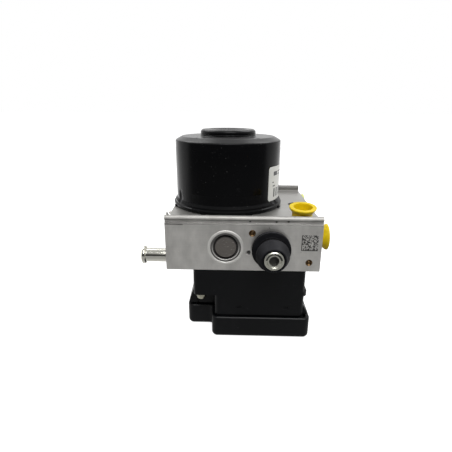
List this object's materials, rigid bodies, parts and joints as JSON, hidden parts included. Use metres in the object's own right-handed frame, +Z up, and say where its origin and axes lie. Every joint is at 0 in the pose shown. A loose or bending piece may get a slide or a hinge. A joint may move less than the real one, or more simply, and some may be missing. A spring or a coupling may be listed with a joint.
{
  "type": "abs brake module",
  "caption": "Anti-lock brake hydraulic module: aluminium valve block with a pump motor on top, capped pipe ports, rubber mounts and a black control unit below.",
  "frame": {"origin": "where the motor's axis meets the plane the module stands on, the underside of the control unit's cover", "axes": "+Z up along the motor's axis, -Y the front with the bush and the pump closure seen in the picture, +X the right face with the pipe ports"},
  "size_m": [0.1245, 0.1426, 0.1368],
  "materials": {
    "milled_aluminium": "bare extruded and milled, faint saw and drag marks",
    "black_can": "black coated drawn steel, half gloss",
    "bright_steel": "ground steel",
    "zinc_steel": "zinc-plated steel, pale yellow cast",
    "dark_steel": "dark grey-brown oxide steel",
    "copper_plug": "coppery plated steel",
    "copper_wire": "enamelled copper",
    "spring_steel": "drawn spring wire",
    "magnet_ferrite": "sintered ferrite, matt",
    "core_steel": "stacked steel laminations",
    "carbon": "pressed carbon",
    "yellow_plastic": "soft moulded yellow plastic, slightly see-through",
    "black_rubber": "matt moulded rubber",
    "black_plastic": "glass-filled black plastic, fine texture",
    "seal_rubber": "moulded seal",
    "board_green": "printed circuit board",
    "pin_brass": "tinned and gilded contact brass",
    "coil_plastic": "overmoulded coil in its yoke",
    "terminal_plastic": "moulded lead carrier"
  },
  "bodies": {
    "module_body": {"valve_block": "milled_aluminium", "ball_plugs": "copper_plug", "suction_nipple": "zinc_steel", "port_plug_top": "yellow_plastic", "port_plug_side_front": "yellow_plastic", "port_plug_side_rear": "yellow_plastic", "motor_can": "black_can", "motor_end_plate": "dark_steel", "magnet_left": "magnet_ferrite", "magnet_right": "magnet_ferrite", "top_bearing": "bright_steel", "lower_bearing": "bright_steel", "brush_front": "carbon", "brush_rear": "carbon", "motor_screws": "zinc_steel", "motor_terminals": "terminal_plastic", "ecu_housing": "black_plastic", "ecu_cover": "black_plastic", "ecu_gasket": "seal_rubber", "circuit_board": "board_green", "connector_pins": "pin_brass", "ecu_screws": "zinc_steel", "valve_coils": "coil_plastic", "front_bush": "black_rubber", "rear_bush": "black_rubber", "front_bush_bolt": "zinc_steel", "rear_bush_bolt": "zinc_steel", "inlet_valve_bodies": "bright_steel", "outlet_valve_bodies": "bright_steel", "pump_closure_front": "dark_steel", "pump_cylinder_front": "bright_steel", "pump_spring_front": "spring_steel", "accumulator_spring_front": "spring_steel", "accumulator_cap_front": "dark_steel", "pump_closure_rear": "dark_steel", "pump_cylinder_rear": "bright_steel", "pump_spring_rear": "spring_steel", "accumulator_spring_rear": "spring_steel", "accumulator_cap_rear": "dark_steel"},
    "armature": {"motor_shaft": "bright_steel", "armature_core": "core_steel", "armature_windings": "copper_wire", "commutator": "copper_plug", "eccentric_needles": "bright_steel"},
    "ring": {"eccentric_ring": "bright_steel"},
    "front_pump_piston": {"pump_piston_front": "bright_steel"},
    "rear_pump_piston": {"pump_piston_rear": "bright_steel"},
    "front_accumulator_piston": {"accumulator_piston_front": "milled_aluminium"},
    "rear_accumulator_piston": {"accumulator_piston_rear": "milled_aluminium"},
    "inlet_valve_1": {"inlet_plunger_1": "core_steel"},
    "outlet_valve_1": {"outlet_plunger_1": "core_steel"},
    "inlet_valve_2": {"inlet_plunger_2": "core_steel"},
    "outlet_valve_2": {"outlet_plunger_2": "core_steel"},
    "inlet_valve_3": {"inlet_plunger_3": "core_steel"},
    "outlet_valve_3": {"outlet_plunger_3": "core_steel"},
    "inlet_valve_4": {"inlet_plunger_4": "core_steel"},
    "outlet_valve_4": {"outlet_plunger_4": "core_steel"}
  },
  "joints": [
    {"name": "motor_spin", "type": "hinge", "parent": "module_body", "child": "armature", "pos_m": [0, 0, 0.105], "axis": [0, 0, 1], "continuous": true},
    {"name": "ring_on_needles", "type": "hinge", "parent": "armature", "child": "ring", "pos_m": [0.0012, 0, 0.066], "axis": [0, 0, 1], "continuous": true},
    {"name": "front_piston_stroke", "type": "slide", "parent": "module_body", "child": "front_pump_piston", "axis": [0, -1, 0], "range_m": [0, 0.0024], "stiffness_N_per_m": 1500, "springref_m": -0.004, "deforming": ["pump_spring_front"]},
    {"name": "rear_piston_stroke", "type": "slide", "parent": "module_body", "child": "rear_pump_piston", "axis": [0, 1, 0], "range_m": [0, 0.0024], "stiffness_N_per_m": 1500, "springref_m": -0.004, "deforming": ["pump_spring_rear"]},
    {"name": "front_accumulator_stroke", "type": "slide", "parent": "module_body", "child": "front_accumulator_piston", "axis": [-1, 0, 0], "range_m": [0, 0.006], "stiffness_N_per_m": 800, "springref_m": -0.01, "deforming": ["accumulator_spring_front"]},
    {"name": "rear_accumulator_stroke", "type": "slide", "parent": "module_body", "child": "rear_accumulator_piston", "axis": [-1, 0, 0], "range_m": [0, 0.006], "stiffness_N_per_m": 800, "springref_m": -0.01, "deforming": ["accumulator_spring_rear"]},
    {"name": "inlet_valve_1_lift", "type": "slide", "parent": "module_body", "child": "inlet_valve_1", "axis": [0, 0, 1], "range_m": [0, 0.0003], "stiffness_N_per_m": 1500, "springref_m": -0.001},
    {"name": "inlet_valve_2_lift", "type": "slide", "parent": "module_body", "child": "inlet_valve_2", "axis": [0, 0, 1], "range_m": [0, 0.0003], "stiffness_N_per_m": 1500, "springref_m": -0.001},
    {"name": "inlet_valve_3_lift", "type": "slide", "parent": "module_body", "child": "inlet_valve_3", "axis": [0, 0, 1], "range_m": [0, 0.0003], "stiffness_N_per_m": 1500, "springref_m": -0.001},
    {"name": "inlet_valve_4_lift", "type": "slide", "parent": "module_body", "child": "inlet_valve_4", "axis": [0, 0, 1], "range_m": [0, 0.0003], "stiffness_N_per_m": 1500, "springref_m": -0.001},
    {"name": "outlet_valve_1_lift", "type": "slide", "parent": "module_body", "child": "outlet_valve_1", "axis": [0, 0, 1], "range_m": [-0.0003, 0], "stiffness_N_per_m": 1500, "springref_m": 0.001},
    {"name": "outlet_valve_2_lift", "type": "slide", "parent": "module_body", "child": "outlet_valve_2", "axis": [0, 0, 1], "range_m": [-0.0003, 0], "stiffness_N_per_m": 1500, "springref_m": 0.001},
    {"name": "outlet_valve_3_lift", "type": "slide", "parent": "module_body", "child": "outlet_valve_3", "axis": [0, 0, 1], "range_m": [-0.0003, 0], "stiffness_N_per_m": 1500, "springref_m": 0.001},
    {"name": "outlet_valve_4_lift", "type": "slide", "parent": "module_body", "child": "outlet_valve_4", "axis": [0, 0, 1], "range_m": [-0.0003, 0], "stiffness_N_per_m": 1500, "springref_m": 0.001}
  ]
}
